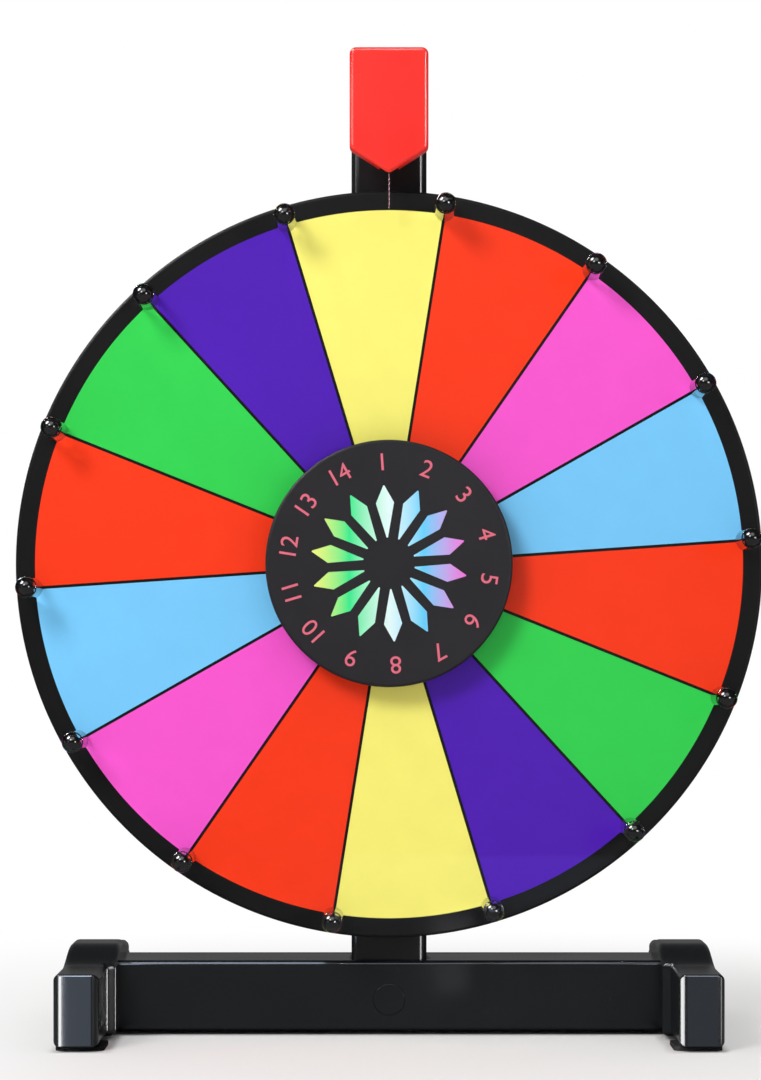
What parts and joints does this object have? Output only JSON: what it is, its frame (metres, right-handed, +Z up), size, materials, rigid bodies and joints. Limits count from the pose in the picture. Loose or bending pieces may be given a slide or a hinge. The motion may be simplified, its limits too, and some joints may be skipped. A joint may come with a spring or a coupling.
{
  "type": "prize wheel",
  "caption": "Tabletop prize wheel: a colourful sectored board with clear rim pegs spins on ball bearings in front of a post, clicking past a springy needle under a red pointer.",
  "frame": {"origin": "on the table under the middle of the stand", "axes": "+Z up, +X to the right seen from the front, +Y to the back; the coloured face looks along -Y"},
  "size_m": [0.457, 0.232, 0.602],
  "materials": {
    "moulded_black": "glossy moulded black",
    "pad_rubber": "soft black rubber",
    "black_screws": "black oxide",
    "post_enamel": "glossy black enamel",
    "zinc_steel": "zinc plated",
    "bearing_steel": "ground bearing steel",
    "needle_wire": "bright spring wire",
    "pointer_red": "glossy moulded red",
    "board_black": "satin black",
    "film_yellow": "smooth printed film",
    "film_red": "smooth printed film",
    "film_pink": "smooth printed film",
    "film_blue": "smooth printed film",
    "film_green": "smooth printed film",
    "film_purple": "smooth printed film",
    "hub_housing": "black coated casting",
    "hub_black": "satin black",
    "clear_peg": "polished clear plastic",
    "cap_black": "glossy black"
  },
  "bodies": {
    "stand": {"left_foot": "moulded_black", "right_foot": "moulded_black", "foot_pads": "pad_rubber", "foot_screws": "black_screws", "crossbar": "moulded_black", "crossbar_plug": "moulded_black", "post": "post_enamel", "post_bolt": "black_screws", "post_washer": "zinc_steel", "post_nut": "zinc_steel", "pointer_arm": "moulded_black", "arm_screw": "black_screws", "pointer": "pointer_red", "pointer_screws": "black_screws", "needle_screw": "needle_wire", "axle": "zinc_steel", "axle_sleeve": "zinc_steel", "axle_collar": "zinc_steel", "axle_washers": "zinc_steel", "axle_nut": "zinc_steel", "bearing_inner_rings": "bearing_steel", "bearing_spacer": "zinc_steel"},
    "wheel": {"wheel_board": "board_black", "yellow_sectors": "film_yellow", "red_sectors": "film_red", "pink_sectors": "film_pink", "blue_sectors": "film_blue", "green_sectors": "film_green", "purple_sectors": "film_purple", "hub_flange": "hub_housing", "hub_screws": "black_screws", "hub_drum": "hub_black", "hub_cover": "hub_black", "bearing_outer_rings": "bearing_steel", "peg_posts": "clear_peg", "peg_caps": "cap_black", "peg_clips": "black_screws"},
    "bearing_cage": {"bearing_balls": "bearing_steel", "bearing_cages": "zinc_steel"},
    "needle": {"needle": "needle_wire"}
  },
  "joints": [
    {"name": "wheel_spin", "type": "hinge", "parent": "stand", "child": "wheel", "pos_m": [0, -0.045, 0.29], "axis": [0, -1, 0], "continuous": true},
    {"name": "cage_spin", "type": "hinge", "parent": "stand", "child": "bearing_cage", "pos_m": [0, -0.04, 0.29], "axis": [0, -1, 0], "continuous": true},
    {"name": "needle_flex", "type": "hinge", "parent": "stand", "child": "needle", "pos_m": [0, -0.064, 0.5295], "axis": [0, -1, 0], "range_deg": [-65, 65], "stiffness_Nm_per_rad": 0.02}
  ],
  "couplings": [
    {"joint": "cage_spin", "follows": "wheel_spin", "ratio": 0.619}
  ]
}
